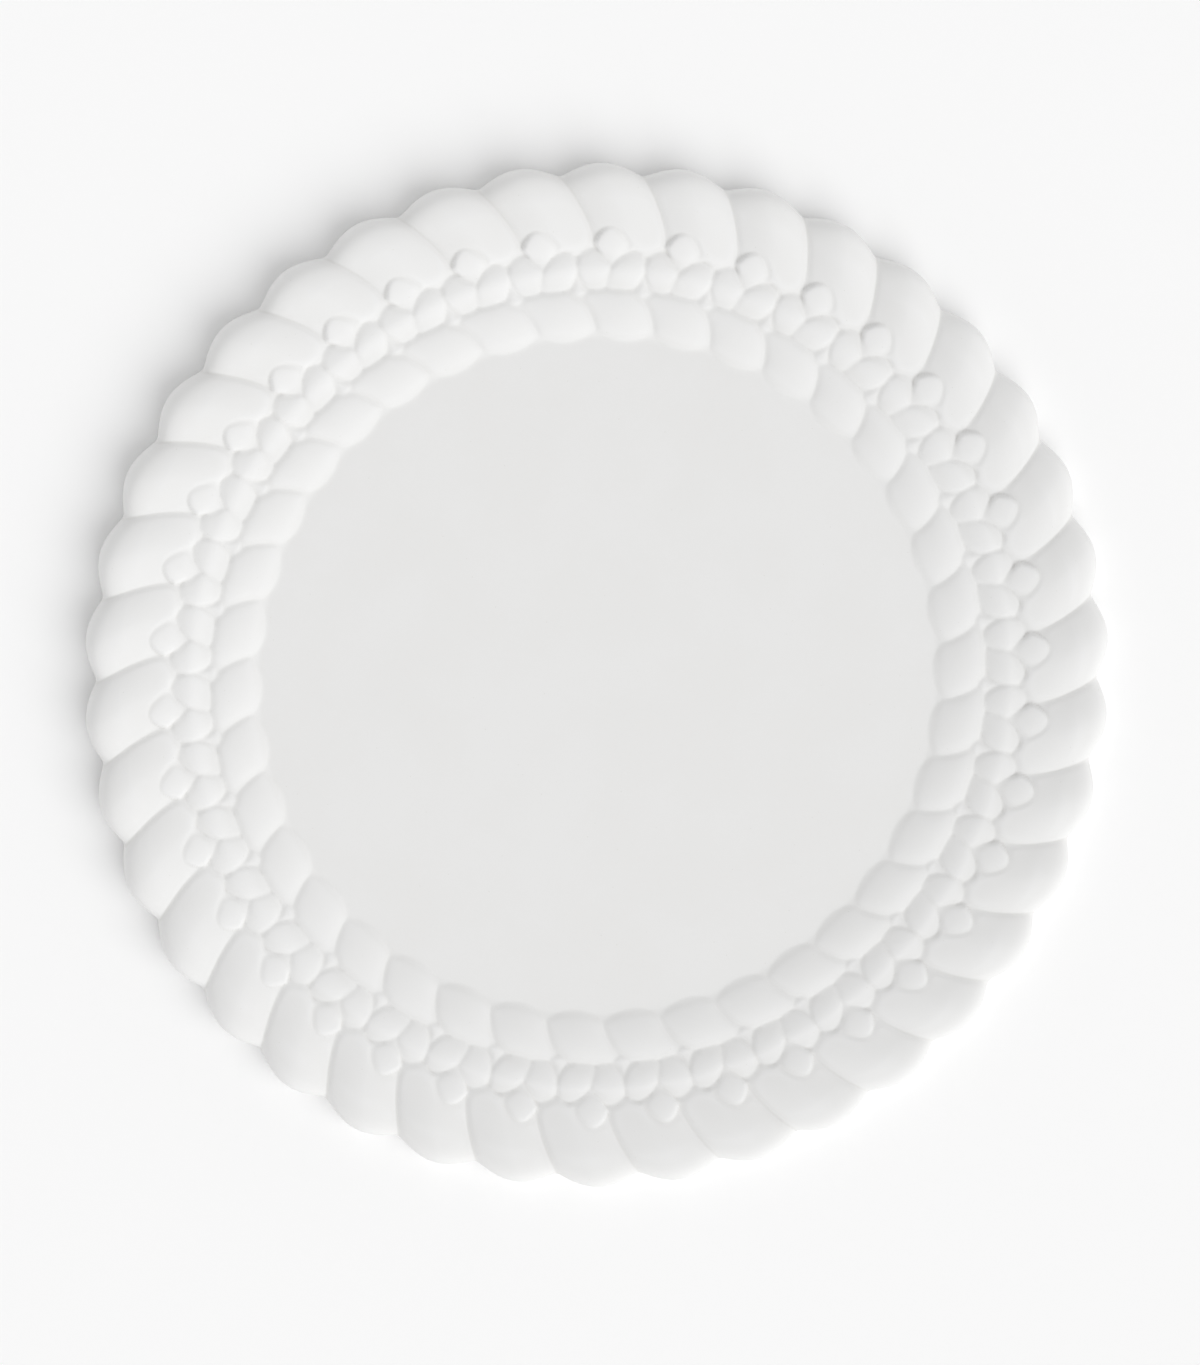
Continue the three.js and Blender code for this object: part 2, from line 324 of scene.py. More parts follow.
def soften(surface, times):
    """A surface with its arrises rounded."""
    for _ in range(times):
        padded = np.pad(surface, ((1, 1), (0, 0)), "edge")
        surface = (2 * surface + padded[:-2] + padded[2:]) / 4
        surface = (2 * surface + np.roll(surface, 1, 1) + np.roll(surface, -1, 1)) / 4
    return surface


def ground_heights(radius):
    """Heights of the feet of the leaves and of the husks."""
    across_leaf = np.clip((radius - PANEL_RADIUS - LEAF_INSET) / (LEAF_BAND - LEAF_INSET), 0, 1)
    leaf_foot = HUSK_GROUND * (1 - (1 - across_leaf) ** LEAF_BEND)
    husk_foot = HUSK_GROUND + HUSK_CLIMB * smooth(radius, HUSK_START, HUSK_TOP)
    return leaf_foot, husk_foot


def relief_heights(turn, radius, cells):
    """Height above the panel of every point of the relief, with its arrises rounded."""
    bulge = inflate(cells, radius)
    dome = dome_share(bulge, cells)
    small_dome = dome**SMALL_FULLNESS
    kind = cells // KIND
    leaf_foot, husk_foot = ground_heights(radius)
    foot = np.where(radius < HUSK_RADIUS, leaf_foot, husk_foot - HUSK_GAP)
    bud_foot = np.maximum(gadroon_profile(radius) - BUD_SINK, husk_foot - BUD_LEAST)
    height = np.where((cells > 0) & (cells < KIND), gadroon_height(turn, radius, bulge), foot)
    height = np.where(kind == 1, leaf_foot + LEAF_CROWN * dome**LEAF_FULLNESS, height)
    height = np.where(kind == 2, foot + FILLER_CROWN * small_dome, height)
    height = np.where((kind == 3) | (kind == 4), husk_foot + PETAL_CROWN * small_dome, height)
    height = np.where(kind == 5, bud_foot + BUD_CROWN * small_dome, height)
    return soften(height, SOFTENING)


def relief_map():
    """Radii, and over one repeat the height above the panel and its painted shading: how hollow (painted
    darker, dust and painted shade), or below 0 how proud (painted lighter, a painted highlight), it is.
    """
    turn = np.arange(-MAP_TURNS, 2 * MAP_TURNS) / MAP_TURNS
    ring = np.arange(PANEL_RADIUS - MAP_INSET, OUTER_RADIUS + MAP_MARGIN, MAP_STEP)
    radius, turn = np.meshgrid(ring, turn, indexing="ij")
    height = relief_heights(turn, radius, ornament_cells(turn, radius))
    # how far each point is painted darker in hollows: partly dust, partly painted shade
    dust_and_painted_shading = np.clip((soften(height, HOLLOW_SPREAD) - height) / HOLLOW_DEPTH, 0, 1)
    # how far each point is painted lighter on proud crowns: a painted highlight
    painted_highlight = np.clip((height - soften(height, PROUD_SPREAD)) / PROUD_HEIGHT, 0, 1)
    middle = slice(MAP_TURNS, 2 * MAP_TURNS)
    return ring, height[:, middle], (dust_and_painted_shading - painted_highlight)[:, middle]


def read_map(ring, heights, radius, turn):
    """The map's value at each radius and turn, between its points."""
    row = np.clip((radius - ring[0]) / MAP_STEP, 0, len(ring) - 1.001)
    column = (turn % 1) * MAP_TURNS
    low_row = row.astype(int)
    low_column = column.astype(int) % MAP_TURNS
    next_column = (low_column + 1) % MAP_TURNS
    up = row - low_row
    along = column - np.floor(column)
    lower = heights[low_row, low_column] * (1 - along) + heights[low_row, next_column] * along
    upper = heights[low_row + 1, low_column] * (1 - along) + heights[low_row + 1, next_column] * along
    return lower * (1 - up) + upper * up


def outline_radius(turn):
    """The scalloped outline, a round lobe to each repeat, with a small fillet in each valley."""
    rise = np.abs(np.sin(math.pi * turn))
    height = np.sqrt(rise**2 + VALLEY_FILLET**2) - VALLEY_FILLET
    lobe = height / (math.sqrt(1 + VALLEY_FILLET**2) - VALLEY_FILLET)
    return OUTER_RADIUS - SCALLOP_DEPTH * (1 - lobe)


def ring_points(radius, angle, height):
    """One ring of points."""
    radius = np.broadcast_to(radius, angle.shape)
    height = np.broadcast_to(height, angle.shape)
    return np.column_stack([radius * np.cos(angle), radius * np.sin(angle), height])


def edge_of(turn):
    """Radius of the outline where each slanting column of the mesh reaches it."""
    edge = np.full(turn.shape, OUTER_RADIUS)
    for _ in range(EDGE_PASSES):
        edge = outline_radius(slanted(turn, edge))
    return edge


def slanted(turn, radius):
    """Turn of a column of the mesh, which leans with the creases between gadroons."""
    return turn + gadroon_crease(radius) - gadroon_crease(GADROON_RADIUS)


def face_rings():
    """Rings from the middle of the face out to the foot of the rim, and the painted shading of each point:
    darker in hollows (dust and painted shade), lighter on proud crowns (painted highlight).
    """
    ring, heights, dust_and_painted_shading_map = relief_map()
    turn = gadroon_crease(GADROON_RADIUS) + np.arange(REPEATS * COLUMNS) / COLUMNS
    coarse = TAU * turn[::PANEL_SHARE] / REPEATS
    rings = [ring_points(share * PANEL_RADIUS, coarse, FACE_HEIGHT) for share in PANEL_RINGS]
    dust_and_painted_shading = [np.zeros(len(points)) for points in rings]

    def add(radius, share=0.0):
        """A ring of the relief, let down by a share of its height above the rim's edge."""
        here = slanted(turn, radius)
        top = FACE_HEIGHT + read_map(ring, heights, radius, here)
        rings.append(ring_points(radius, TAU * here / REPEATS, top + (EDGE_HEIGHT - top) * share))
        dust_and_painted_shading.append(read_map(ring, dust_and_painted_shading_map, radius, here) * (share < 1))

    zones = (
        np.arange(PANEL_RADIUS - LEAF_START, HUSK_START, LEAF_STEP),
        np.arange(HUSK_START, GADROON_RADIUS + GADROON_START, HUSK_STEP),
    )
    for radius in np.concatenate(zones):
        add(np.full(turn.shape, radius))
    start = radius
    edge = edge_of(turn)
    crest = edge - GADROON_CREST
    for share in np.linspace(0, 1, GADROON_ROWS + 1)[1:]:
        add(start + (crest - start) * share)
    for lean in np.linspace(0, math.pi / 2, ROLL_ROWS + 1)[1:]:
        out = math.sin(lean) ** (2 / ROLL_SQUARENESS)
        add(crest + (edge - crest) * out, 1 - math.cos(lean) ** (2 / ROLL_SQUARENESS))
    angle = TAU * slanted(turn, edge) / REPEATS
    for height, inset in RIM_FOOT:
        rings.append(ring_points(edge - inset * MM, angle, height * MM))
        dust_and_painted_shading.append(np.zeros(len(angle)))
    return rings, np.concatenate(dust_and_painted_shading)


def struck(radius, angle):
    """Height of the marks that a straightedge leaves on a struck land, never below the ceiling plane."""
    sweep = np.sin(9 * angle + 260 * radius) + np.sin(23 * angle - 410 * radius)
    chatter = np.sin(67 * angle + 900 * radius) * np.sin(5 * angle)
    return STRIKE_DEPTH * (2 + sweep * 0.7 + chatter * 0.6)


def channel_section():
    """Radii and heights across the channel, inward."""
    outer_foot = CHANNEL_OUTER - CHANNEL_DRAFT
    inner_foot = CHANNEL_INNER + CHANNEL_DRAFT
    return [
        (CHANNEL_OUTER, ARRIS),
        (CHANNEL_OUTER - CHANNEL_DRAFT / 2, CHANNEL_DEPTH / 2),
        (outer_foot, CHANNEL_DEPTH - ROUNDING),
        (outer_foot - ROUNDING, CHANNEL_DEPTH),
        ((outer_foot + inner_foot) / 2, CHANNEL_DEPTH),
        (inner_foot + ROUNDING, CHANNEL_DEPTH),
        (inner_foot, CHANNEL_DEPTH - ROUNDING),
        (CHANNEL_INNER + CHANNEL_DRAFT / 2, CHANNEL_DEPTH / 2),
        (CHANNEL_INNER, ARRIS),
    ]


def recess_section():
    """Radii and heights across the recess, inward."""
    return [
        (HUB_RADIUS + 0.1 * MM, 0.7 * MM),
        (HUB_RADIUS - 0.1 * MM, RECESS_DEPTH - 0.5 * MM),
        (HUB_RADIUS - 0.6 * MM, RECESS_DEPTH),
        (0.7 * HUB_RADIUS, RECESS_DEPTH),
        (0.35 * HUB_RADIUS, RECESS_DEPTH),
        (0.05 * HUB_RADIUS, RECESS_DEPTH),
    ]


def back_rings(angle):
    """Rings of the back from the rim land in to the middle."""
    land = [OUTER_RADIUS - RIM_LAND, CHANNEL_OUTER + LAND_EDGE]
    hub = np.linspace(CHANNEL_INNER - LAND_EDGE, HUB_RADIUS + ROUNDING, 5)
    rings = [ring_points(OUTER_RADIUS - RIM_FLAT, angle, 0)]
    rings += [ring_points(radius, angle, struck(radius, angle)) for radius in land]
    rings += [ring_points(radius, angle, height) for radius, height in channel_section()]
    rings += [ring_points(radius, angle, struck(radius, angle)) for radius in hub]
    rings += [ring_points(radius, angle, height) for radius, height in recess_section()]
    return rings


def bridge(start, count, next_start, next_count):
    """Faces between two rings, where one may hold a whole multiple of the other's points."""
    few = min(count, next_count)
    share = count // few
    next_share = next_count // few
    faces = []
    for step in range(few):
        first = [start + (step * share + k) % count for k in range(share, -1, -1)]
        second = [next_start + (step * next_share + k) % next_count for k in range(next_share + 1)]
        faces.append([first[-1]] + second + first[:-1])
    return faces


def closed_rings(rings):
    """Points and faces of rings joined in turn and closed at both ends."""
    faces = []
    starts = np.cumsum([0] + [len(ring) for ring in rings])
    for index in range(len(rings) - 1):
        faces += bridge(starts[index], len(rings[index]), starts[index + 1], len(rings[index + 1]))
    faces.append([starts[0] + k for k in range(len(rings[0]))])
    faces.append([starts[-2] + k for k in reversed(range(len(rings[-1])))])
    return np.vstack(rings), faces


def looped_rings(rings):
    """Points and faces of rings joined in turn, the last to the first."""
    count = len(rings[0])
    faces = []
    for index in range(len(rings)):
        faces += bridge(index * count, count, (index + 1) % len(rings) * count, count)
    return np.vstack(rings), faces


def mesh_object(name, points, faces, materials):
    """A smooth-shaded mesh made of points and faces."""
    mesh = bpy.data.meshes.new(name)
    mesh.from_pydata([tuple(p) for p in points], [], [[int(k) for k in face] for face in faces])
    mesh.validate()
    mesh.shade_smooth()
    for material in materials:
        mesh.materials.append(material)
    piece = bpy.data.objects.new(name, mesh)
    bpy.context.scene.collection.objects.link(piece)
    return piece


def solid_object(name, points, faces, material):
    """A mesh object with its faces turned outward and its square edges kept crisp."""
    piece = mesh_object(name, points, faces, [material])
    shell = bmesh.new()
    shell.from_mesh(piece.data)
    bmesh.ops.recalc_face_normals(shell, faces=shell.faces)
    shell.to_mesh(piece.data)
    shell.free()
    piece.data.set_sharp_from_angle(angle=math.radians(50))
    return piece


def keep_place(piece, name, places):
    """Keeps a place for each point on the mesh, which its material reads."""
    attribute = piece.data.attributes.new(name, "FLOAT_VECTOR", "POINT")
    attribute.data.foreach_set("vector", np.asarray(places, np.float32).ravel())


class Nodes:
    """Short forms for building a material's node tree."""

    def __init__(self, name, colour, roughness):
        self.material = bpy.data.materials.new(name)
        self.material.use_nodes = True
        self.tree = self.material.node_tree
        self.shader = self.tree.nodes["Principled BSDF"]
        self.shader.inputs["Base Color"].default_value = (*colour, 1)
        self.shader.inputs["Roughness"].default_value = roughness

    def feed(self, socket, value):
        """Sets a socket, or links it where the value comes from another node."""
        if isinstance(value, bpy.types.NodeSocket):
            self.tree.links.new(value, socket)
        else:
            socket.default_value = value

    def place(self, stretch=(1, 1, 1)):
        """Object coordinates, in metres, stretched along each axis."""
        source = self.tree.nodes.new("ShaderNodeTexCoord").outputs["Object"]
        return self.stretched(source, stretch)

    def own(self, name, stretch=(1, 1, 1)):
        """Coordinates kept on the mesh under a name."""
        node = self.tree.nodes.new("ShaderNodeAttribute")
        node.attribute_name = name
        return self.stretched(node.outputs["Vector"], stretch)

    def stretched(self, source, stretch):
        """Coordinates stretched along each axis."""
        node = self.tree.nodes.new("ShaderNodeMapping")
        node.inputs["Scale"].default_value = stretch
        self.feed(node.inputs["Vector"], source)
        return node.outputs["Vector"]

    def kept(self, name):
        """A number kept on the mesh under a name."""
        node = self.tree.nodes.new("ShaderNodeAttribute")
        node.attribute_name = name
        return node.outputs["Fac"]

    def noise(self, place, size, detail=3.0, rough=0.5):
        """Noise with features of a size in millimetres."""
        node = self.tree.nodes.new("ShaderNodeTexNoise")
        node.inputs["Scale"].default_value = 1000 / size
        node.inputs["Detail"].default_value = detail
        node.inputs["Roughness"].default_value = rough
        self.feed(node.inputs["Vector"], place)
        return node.outputs["Fac"]

    def pits(self, place, spacing, size):
        """1 in small round pits and 0 between them, with sizes in millimetres."""
        node = self.tree.nodes.new("ShaderNodeTexVoronoi")
        node.inputs["Scale"].default_value = 1000 / spacing
        self.feed(node.inputs["Vector"], place)
        return self.between(node.outputs["Distance"], size / spacing, 0.4 * size / spacing)

    def between(self, value, start, end, low=0.0, high=1.0):
        """A value spread from start to end onto low to high."""
        node = self.tree.nodes.new("ShaderNodeMapRange")
        node.interpolation_type = "SMOOTHSTEP"
        names = ("Value", "From Min", "From Max", "To Min", "To Max")
        for name, number in zip(names, (value, start, end, low, high)):
            self.feed(node.inputs[name], number)
        return node.outputs["Result"]

    def math(self, operation, first, second=0.0):
        """One step of arithmetic."""
        node = self.tree.nodes.new("ShaderNodeMath")
        node.operation = operation
        self.feed(node.inputs[0], first)
        self.feed(node.inputs[1], second)
        return node.outputs[0]

    def mix(self, share, first, second):
        """Two colours mixed by a share."""
        node = self.tree.nodes.new("ShaderNodeMix")
        node.data_type = "RGBA"
        self.feed(node.inputs[0], share)
        for socket, colour in ((node.inputs[6], first), (node.inputs[7], second)):
            self.feed(socket, (*colour, 1) if isinstance(colour, tuple) else colour)
        return node.outputs[2]

    def bump(self, height, depth):
        """Raises the surface by a height from 0 to 1 of a depth in millimetres."""
        node = self.tree.nodes.new("ShaderNodeBump")
        node.inputs["Strength"].default_value = 1.0
        node.inputs["Distance"].default_value = depth * MM
        self.feed(node.inputs["Height"], height)
        self.feed(self.shader.inputs["Normal"], node.outputs["Normal"])

    def colour(self, value):
        """Gives the surface its colour."""
        self.feed(self.shader.inputs["Base Color"], value)

    def rough(self, value):
        """Gives the surface its roughness."""
        self.feed(self.shader.inputs["Roughness"], value)


# the first colour below is a painted highlight for the proud crowns of the relief
PAINTED_HIGHLIGHT_WHITE = (0.829, 0.828, 0.824)
WHITE = (0.812, 0.811, 0.806)
WARM_WHITE = (0.775, 0.768, 0.752)
# the next colour greys the pits, and greys the hollows as partly dust and partly painted shade
GREY_WHITE = (0.70, 0.692, 0.668)
STRUCK_WHITE = (0.64, 0.625, 0.59)
PIT_GREY = (0.42, 0.40, 0.36)
FLOOR_WHITE = (0.96, 0.96, 0.96)
JUTE = (0.46, 0.33, 0.17)
JUTE_DARK = (0.30, 0.20, 0.095)
PINE = (0.60, 0.40, 0.20)
PINE_LATE = (0.42, 0.235, 0.095)
PINE_AGED = (0.50, 0.38, 0.24)
KNOT = (0.16, 0.075, 0.03)


def face_plaster():
    """Matt white gypsum off a smooth mould: clouds, grain, a few pits, hollows painted darker (partly dust,
    partly painted shade) and crowns painted lighter (painted highlight).
    """
    nodes = Nodes("plaster_face", WHITE, 0.88)
    place = nodes.place()
    clouds = nodes.noise(place, 45, 4)
    grain = nodes.noise(place, 0.9, 2, 0.6)
    skin = nodes.noise(place, 5, 4)
    pits = nodes.pits(place, 9, 0.45)
    body = nodes.mix(nodes.between(clouds, 0.35, 0.65, 0, 0.22), WHITE, WARM_WHITE)
    body = nodes.mix(nodes.between(grain, 0.3, 0.7, 0, 0.14), body, WARM_WHITE)
    # painted highlight: proud crowns are painted lighter
    body = nodes.mix(nodes.between(nodes.kept("dust_and_painted_shading"), 0, -1), body, PAINTED_HIGHLIGHT_WHITE)
    # hollows painted greyer: partly dust, partly painted shade
    body = nodes.mix(nodes.between(nodes.kept("dust_and_painted_shading"), 0, 1, 0, 0.42), body, GREY_WHITE)
    nodes.colour(nodes.mix(nodes.math("MULTIPLY", pits, 0.6), body, GREY_WHITE))
    nodes.rough(nodes.between(skin, 0.3, 0.7, 0.82, 0.94))
    relief = nodes.math("ADD", nodes.math("MULTIPLY", grain, 0.35), nodes.math("MULTIPLY", skin, 0.65))
    nodes.bump(nodes.math("SUBTRACT", relief, pits), 0.05)
    return nodes.material


def back_plaster():
    """Plaster struck off by hand: drag marks, smears, pits and grey damp clouding."""
    nodes = Nodes("plaster_back", STRUCK_WHITE, 0.93)
    place = nodes.place()
    drags = nodes.noise(nodes.place((0.16, 1, 1)), 2.6, 5, 0.6)
    clouds = nodes.noise(place, 60, 5, 0.6)
    lumps = nodes.noise(place, 14, 5, 0.55)
    pits = nodes.pits(place, 6.5, 0.9)
    body = nodes.mix(nodes.between(clouds, 0.35, 0.65), WARM_WHITE, STRUCK_WHITE)
    body = nodes.mix(nodes.between(drags, 0.45, 0.7, 0, 0.45), body, WHITE)
    nodes.colour(nodes.mix(nodes.math("MULTIPLY", pits, 0.7), body, PIT_GREY))
    nodes.rough(nodes.between(lumps, 0.3, 0.7, 0.85, 0.97))
    relief = nodes.math("ADD", nodes.math("MULTIPLY", drags, 0.4), lumps)
    nodes.bump(nodes.math("SUBTRACT", relief, pits), 0.5)
    return nodes.material


def make_casting():
    """The casting, closed all round: the face, the rim and the struck back."""
    front, dust_and_painted_shading = face_rings()
    foot = front[-1][::BACK_SHARE]
    points, faces = closed_rings(front + back_rings(np.arctan2(foot[:, 1], foot[:, 0])))
    piece = mesh_object("rose_relief", points, faces, [face_plaster(), back_plaster()])
    for polygon in piece.data.polygons:
        polygon.material_index = int(max(polygon.vertices) >= len(dust_and_painted_shading))
    # keeps on each point of the face its painted shading: dust and painted shade in hollows, a painted
    # highlight on crowns
    attribute = piece.data.attributes.new("dust_and_painted_shading", "FLOAT", "POINT")
    kept = np.zeros(len(points), np.float32)
    kept[: len(dust_and_painted_shading)] = dust_and_painted_shading
    attribute.data.foreach_set("value", kept)
    return piece


def sawn_timber():
    """Rough-sawn softwood: long grain, late-wood lines, saw marks across, and smears of plaster."""
    nodes = Nodes("timber", PINE, 0.8)
    fibre = nodes.noise(nodes.own("grain", (1, 0.02, 1)), 0.5, 3, 0.6)
    bands = nodes.noise(nodes.own("grain", (1, 0.035, 1)), 3.4, 4, 0.65)
    marks = nodes.noise(nodes.own("grain", (0.06, 1, 0.06)), 1.5, 2)
    clouds = nodes.noise(nodes.own("grain"), 26, 4, 0.6)
    smears = nodes.between(nodes.noise(nodes.own("grain", (1, 0.5, 1)), 11, 6, 0.65), 0.54, 0.66)
    knots = nodes.pits(nodes.own("grain", (1, 0.45, 1)), 75, 7)
    body = nodes.mix(nodes.between(bands, 0.42, 0.62), PINE, PINE_LATE)
    body = nodes.mix(nodes.between(fibre, 0.3, 0.75, 0, 0.35), body, PINE_LATE)
    body = nodes.mix(nodes.between(clouds, 0.35, 0.7, 0, 0.35), body, PINE_AGED)
    body = nodes.mix(knots, body, KNOT)
    nodes.colour(nodes.mix(nodes.math("MULTIPLY", smears, 0.85), body, WARM_WHITE))
    nodes.rough(nodes.between(fibre, 0.3, 0.7, 0.7, 0.92))
    relief = nodes.math("ADD", nodes.math("MULTIPLY", fibre, 0.5), nodes.math("MULTIPLY", marks, 0.7))
    nodes.bump(nodes.math("ADD", relief, nodes.math("MULTIPLY", smears, 0.8)), 0.35)
    return nodes.material


def plain_weave(nodes, place):
    """How high the threads of an open plain weave stand, from 0 between them to 1 where one lies over."""
    shift = nodes.noise(place, 16, 3)
    split = nodes.tree.nodes.new("ShaderNodeSeparateXYZ")
    nodes.feed(split.inputs[0], place)
    threads = []
    waves = []
    for axis in ("X", "Y"):
        count = nodes.math("MULTIPLY", split.outputs[axis], 1 / WEAVE_PITCH)
        count = nodes.math("ADD", count, nodes.math("MULTIPLY", shift, 0.9))
        off = nodes.math("ABSOLUTE", nodes.math("SUBTRACT", nodes.math("FRACT", count), 0.5))
        threads.append(nodes.between(off, 0.27, 0.09))
        waves.append(nodes.math("SINE", nodes.math("MULTIPLY", count, math.pi)))
    over = nodes.math("MULTIPLY", waves[0], waves[1])
    warp = nodes.math("MULTIPLY", threads[0], nodes.between(over, -1, 1, 0.55, 1))
    weft = nodes.math("MULTIPLY", threads[1], nodes.between(over, -1, 1, 1, 0.55))
    return nodes.math("MAXIMUM", warp, weft)


def plastered_hessian():
    """Open jute canvas soaked in plaster: threads over and under, some bare and some buried."""
    nodes = Nodes("hessian", JUTE, 0.92)
    place = nodes.own("weave")
    canvas = plain_weave(nodes, place)
    fibre = nodes.noise(place, 0.5, 3, 0.7)
    buried = nodes.between(nodes.noise(place, 21, 5, 0.6), 0.40, 0.60)
    body = nodes.mix(nodes.between(fibre, 0.3, 0.7), JUTE, JUTE_DARK)
    body = nodes.mix(nodes.between(fibre, 0.45, 0.62, 0, 0.75), body, WARM_WHITE)
    clear = nodes.between(canvas, 0.35, 0.8)
    bare = nodes.between(buried, 0, 1, 0.95, 0.22)
    shown = nodes.math("MULTIPLY", clear, bare)
    slurry = nodes.mix(nodes.noise(place, 7, 4), WARM_WHITE, STRUCK_WHITE)
    nodes.colour(nodes.mix(shown, slurry, body))
    nodes.rough(nodes.between(fibre, 0.3, 0.7, 0.86, 0.97))
    lumps = nodes.math("MULTIPLY", nodes.noise(place, 6, 4), 0.5)
    depth = nodes.math("MULTIPLY", canvas, nodes.between(buried, 0, 1, 1, 0.35))
    fuzz = nodes.math("MULTIPLY", fibre, 0.18)
    nodes.bump(nodes.math("ADD", nodes.math("ADD", depth, lumps), fuzz), 0.7)
    return nodes.material


def rounded_section(half_width, half_height, corner):
    """An outline with round corners, as pairs across and up."""
    points = []
    for quarter, (right, up) in enumerate(((1, 1), (-1, 1), (-1, -1), (1, -1))):
        for t in (0, 1 / 3, 2 / 3, 1):
            lean = (quarter + t) * math.pi / 2
            x = right * (half_width - corner) + corner * math.cos(lean)
            z = up * (half_height - corner) + corner * math.sin(lean)
            points.append((x, z))
    return np.array(points)


def make_lath(number, material):
    """A sawn lath with worn arrises, which wanders a little along its length."""
    low, high = box_of("rim_lath_1")
    half = (high - low) / 2
    middle = (high + low) / 2
    rings = []
    for place in np.concatenate([[-1], np.linspace(-0.994, 0.994, 41), [1]]):
        trim = LATH_TRIM * (abs(place) == 1)
        wander = LATH_WANDER * math.sin(6.5 * place + 2.4 * number)
        thin = LATH_THINNING * (1 + math.sin(9.7 * place + 1.3 * number))
        half_width = half.x - LATH_SIDE_GAP - trim
        half_height = half.z - LATH_FACE_GAP - thin / 2 - trim
        section = rounded_section(half_width, half_height, LATH_ARRIS)
        across = middle.x + wander + section[:, 0]
        skew = section[:, 0] / half.x * LATH_SKEW * math.sin(3.1 * number) * (abs(place) > 0.99)
        along = place * (half.y - LATH_END_GAP) + skew
        rings.append(np.column_stack([across, along + np.zeros(len(across)), middle.z + section[:, 1]]))
    points, faces = closed_rings(rings)
    piece = solid_object(f"sawn_lath_{number}", points, faces, material)
    keep_place(piece, "grain", points + (0.31 * number, 0.17 * number, 0))
    return piece


def filleted(corners, radius, step):
    """Points along a line with its corners rounded and no gap longer than a step."""
    path = [corners[0]]
    shares = np.linspace(0, 1, 6)
    for before, here, after in zip(corners, corners[1:], corners[2:]):
        start = here + (before - here).normalized() * radius
        end = here + (after - here).normalized() * radius
        gap = start - path[-1]
        count = int(gap.length // step)
        path += [path[-1] + gap * (k + 1) / (count + 1) for k in range(count)]
        path += [start * (1 - t) ** 2 + here * 2 * t * (1 - t) + end * t**2 for t in shares]
    path.append((path[-1] + corners[-1]) / 2)
    path.append(corners[-1])
    return np.array([tuple(point) for point in path])


def strap_line():
    """Middle line of a strap round a lath, as pairs out and up, and its thickness."""
    low, high = box_of("scrim_strap_1a")
    lath_low, lath_high = box_of("rim_lath_1")
    thickness = lath_low.z - STRAP_GAP - low.z
    top = high.z - thickness / 2
    under = low.z + thickness / 2
    inner = lath_low.x - STRAP_GAP - thickness / 2
    outer = lath_high.x + STRAP_GAP + thickness / 2
    corners = [(low.x, top), (inner, top), (inner, under), (outer, under), (outer, top), (high.x, top)]
    return filleted([Vector(corner) for corner in corners], STRAP_BEND, STRAP_STEP), thickness


def loose_thread(start, heading, length, rng):
    """Points and faces of a short thread end, from its root."""
    droop = rng.uniform(-THREAD_DROOP, THREAD_DROOP)
    sway = rng.uniform(-THREAD_SWAY, THREAD_SWAY)
    rings = []
    for share in (0, 0.35, 0.7, 1):
        turn = np.arange(6) * TAU / 6
        size = THREAD_RADIUS * (1 - 0.45 * share**2)
        centre = start + np.array([sway * share**2, heading * share, droop * share**2]) * length
        side = np.column_stack([size * np.cos(turn), np.zeros(6), size * np.sin(turn)])
        rings.append(centre + side)
    return closed_rings(rings)


def strap_shell(low, high, line, thickness, run, rng):
    """Rings of a strap's points from one cut edge to the other, and their places in the weave."""
    heading = np.gradient(line, axis=0)
    heading /= np.linalg.norm(heading, axis=1)[:, None]
    normal = np.column_stack([-heading[:, 1], heading[:, 0]])
    phases = [rng.uniform(0, TAU) for _ in range(4)]
    rings = []
    weave = []
    for place in np.linspace(-1, 1, STRAP_ROWS):
        fray = FRAY_DEPTH * (1 + np.sin(run / FRAY_PITCH + phases[0])) * abs(place) ** 6
        lump = LUMP_HEIGHT * np.sin(run / LUMP_PITCH + phases[1] + 5 * place)
        half = thickness / 2 - STRAP_SKIN - lump.clip(0) - EDGE_THINNING * abs(place) ** 12
        along = (low.y + high.y) / 2 + place * ((high.y - low.y) / 2 - fray)
        upper = line + normal * half[:, None]
        lower = line - normal * half[:, None]
        loop = np.vstack([upper, lower[::-1]])
        both = np.concatenate([along, along[::-1]])
        rings.append(np.column_stack([loop[:, 0], both, loop[:, 1]]))
        weave.append(np.column_stack([np.concatenate([run, run[::-1]]), both, 0 * both]))
    return rings, np.vstack(weave)


def strap_threads(low, high, line, rng):
    """The loose thread ends along both cut edges of a strap."""
    threads = []
    for end in (-1, 1):
        root = (low.y + high.y) / 2 + end * ((high.y - low.y) / 2 - THREAD_ROOT)
        for index in range(2, len(line) - 1, 3):
            length = rng.uniform(2.0, 4.2) * MM
            start = np.array([line[index, 0], root, line[index, 1]])
            threads.append(loose_thread(start, end, length, rng))
    return threads


def make_strap(number, side, material):
    """A strip of hessian over a lath, stiff with plaster, with frayed cut edges."""
    low, high = box_of(f"scrim_strap_1{side}")
    rng = random.Random(10 * number + ord(side))
    line, thickness = strap_line()
    run = np.concatenate([[0], np.cumsum(np.linalg.norm(np.diff(line, axis=0), axis=1))])
    rings, weave = strap_shell(low, high, line, thickness, run, rng)
    points, faces = closed_rings(rings)
    weave = weave + (0.013 * number, 0.007 * number, 0)
    for thread, thread_faces in strap_threads(low, high, line, rng):
        faces += [[k + len(points) for k in face] for face in thread_faces]
        points = np.vstack([points, thread])
        weave = np.vstack([weave, np.full((len(thread), 3), WEAVE_PITCH / 2)])
    piece = solid_object(f"hessian_strap_{number}{side}", points, faces, material)
    keep_place(piece, "weave", weave)
    return piece


def ragged(angle, count):
    """A cut edge's wander, from 0 to 1."""
    return 0.5 + 0.25 * np.sin(count * angle) + 0.25 * np.sin((2 * count + 5) * angle + 1)


